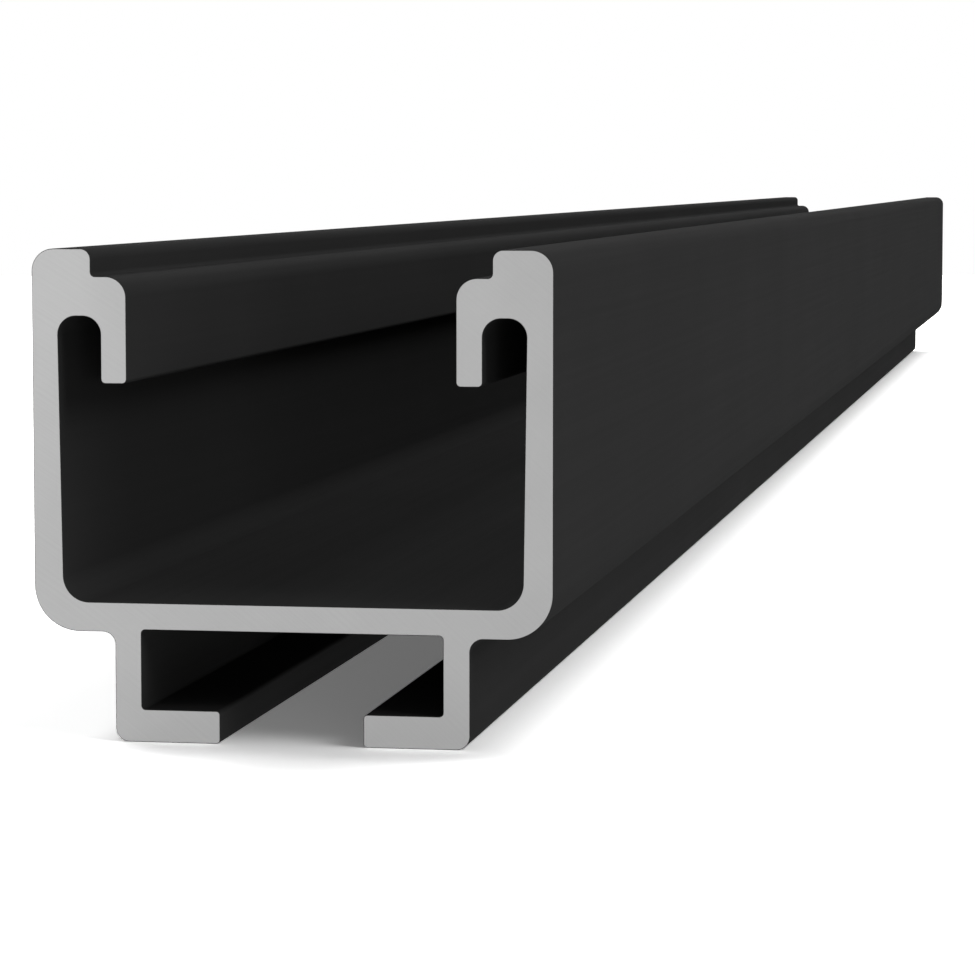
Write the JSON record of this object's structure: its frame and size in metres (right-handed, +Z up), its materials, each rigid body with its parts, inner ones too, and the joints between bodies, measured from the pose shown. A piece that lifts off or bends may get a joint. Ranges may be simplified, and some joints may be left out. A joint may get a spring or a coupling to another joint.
{
  "type": "solar mounting rail",
  "caption": "Straight black extruded rail for mounting solar panels, with a hooked channel along its top and a slotted channel along its underside.",
  "frame": {"origin": "halfway along the rail and halfway across it, on the plane that its feet stand on", "axes": "+Y along the rail, +X across it, +Z up from the feet to the ribs"},
  "size_m": [0.04, 0.635, 0.0375],
  "materials": {
    "rail": "black anodised with bare sawn ends"
  },
  "bodies": {
    "root": {"rail": "rail"}
  },
  "joints": []
}
